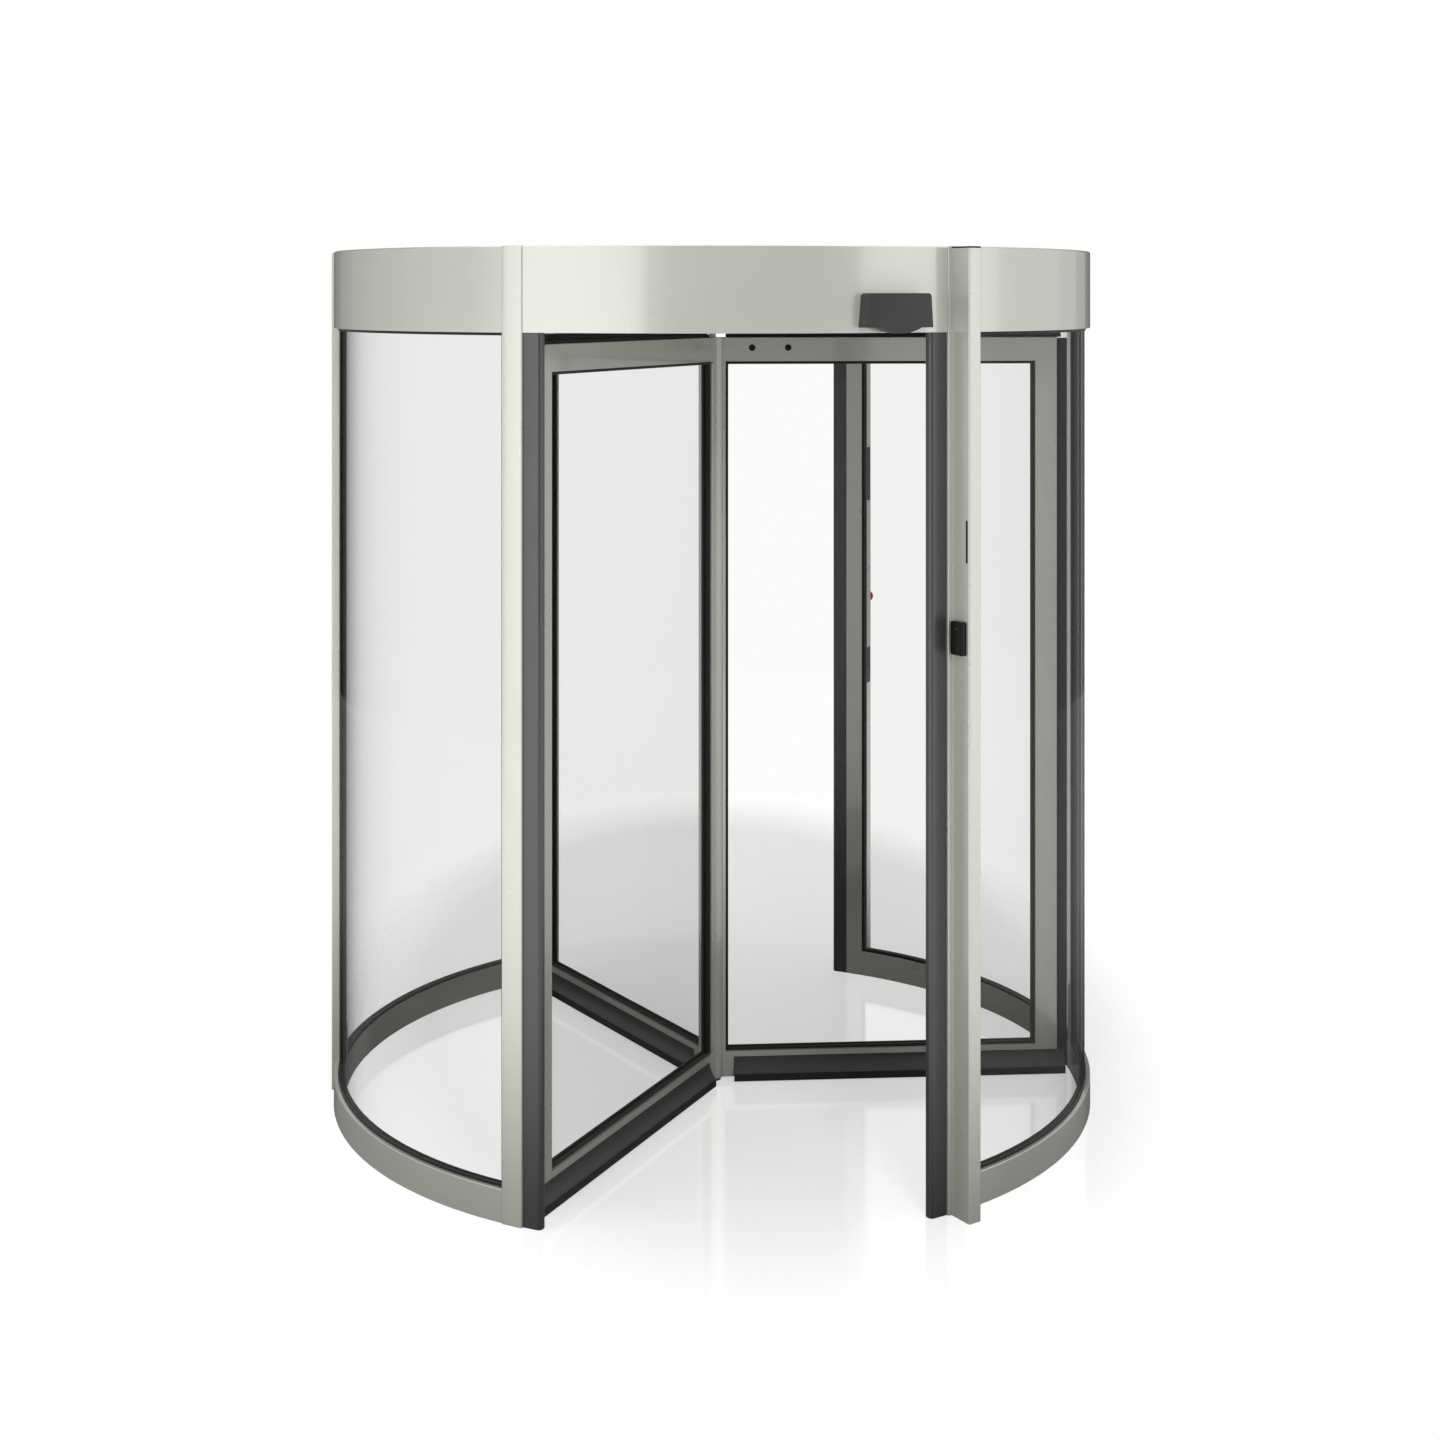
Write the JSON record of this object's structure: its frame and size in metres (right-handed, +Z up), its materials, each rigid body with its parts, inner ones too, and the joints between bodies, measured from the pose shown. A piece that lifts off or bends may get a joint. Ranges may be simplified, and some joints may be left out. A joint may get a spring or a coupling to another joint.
{
  "type": "security revolving door",
  "caption": "Round security revolving door: curved glass walls, a canopy with motion sensors, a card reader post, and a rotor of framed glass wings with skirts and edge seals.",
  "frame": {"origin": "the rotor axis at floor level, in the middle of the drum", "axes": "+Z up along the rotor axis, front entrance towards -Y, wall posts on +X and -X"},
  "size_m": [2.102, 2.0826, 2.305],
  "materials": {
    "grey_paint": "satin warm grey powder coat on aluminium",
    "ceiling_paint": "matt pale paint",
    "roof_sheet": "plain painted dust cover sheet",
    "wall_glass": "curved laminated clear glass",
    "wing_glass": "flat toughened clear glass",
    "edge_rubber": "smooth charcoal safety edge rubber",
    "seal_rubber": "black sealing rubber and brush",
    "skirt_plastic": "dark grey moulded skirt with a black lip",
    "black_plastic": "glossy black plastic",
    "red_plastic": "glossy red plastic",
    "sensor_plastic": "charcoal moulded plastic",
    "bearing_steel": "turned steel"
  },
  "bodies": {
    "drum": {"throat_post_front_left": "grey_paint", "safety_edge_front_left": "edge_rubber", "throat_post_front_right": "grey_paint", "safety_edge_front_right": "edge_rubber", "throat_post_rear_left": "grey_paint", "safety_edge_rear_left": "edge_rubber", "throat_post_rear_right": "grey_paint", "safety_edge_rear_right": "edge_rubber", "kerb_left": "grey_paint", "wall_glass_left": "wall_glass", "fascia_left": "grey_paint", "wall_post_left": "grey_paint", "kerb_right": "grey_paint", "wall_glass_right": "wall_glass", "fascia_right": "grey_paint", "wall_post_right": "grey_paint", "fascia_front": "grey_paint", "fascia_rear": "grey_paint", "head_ring": "grey_paint", "device_post_front": "grey_paint", "device_post_rear": "grey_paint", "ceiling": "ceiling_paint", "canopy_roof": "roof_sheet", "device_post_caps": "black_plastic", "card_reader": "black_plastic", "black_panels": "black_plastic", "emergency_collar": "black_plastic", "motion_sensors": "sensor_plastic", "rotor_bearings": "bearing_steel", "wall_gaskets": "seal_rubber"},
    "rotor": {"rotor_column": "grey_paint", "wing_gaskets": "seal_rubber", "rail_plugs": "black_plastic", "wing_a_frame": "grey_paint", "wing_a_glass": "wing_glass", "wing_a_edge_seals": "seal_rubber", "wing_a_floor_skirts": "skirt_plastic", "wing_b_frame": "grey_paint", "wing_b_glass": "wing_glass", "wing_b_edge_seals": "seal_rubber", "wing_b_floor_skirts": "skirt_plastic", "wing_c_frame": "grey_paint", "wing_c_glass": "wing_glass", "wing_c_edge_seals": "seal_rubber", "wing_c_floor_skirts": "skirt_plastic"},
    "button": {"emergency_button": "red_plastic"}
  },
  "joints": [
    {"name": "rotor_spin", "type": "hinge", "parent": "drum", "child": "rotor", "pos_m": [0, 0, 0], "axis": [0, 0, 1], "continuous": true},
    {"name": "button_press", "type": "slide", "parent": "drum", "child": "button", "axis": [-0.5075, -0.8617, 0], "range_m": [0, 0.004]}
  ]
}
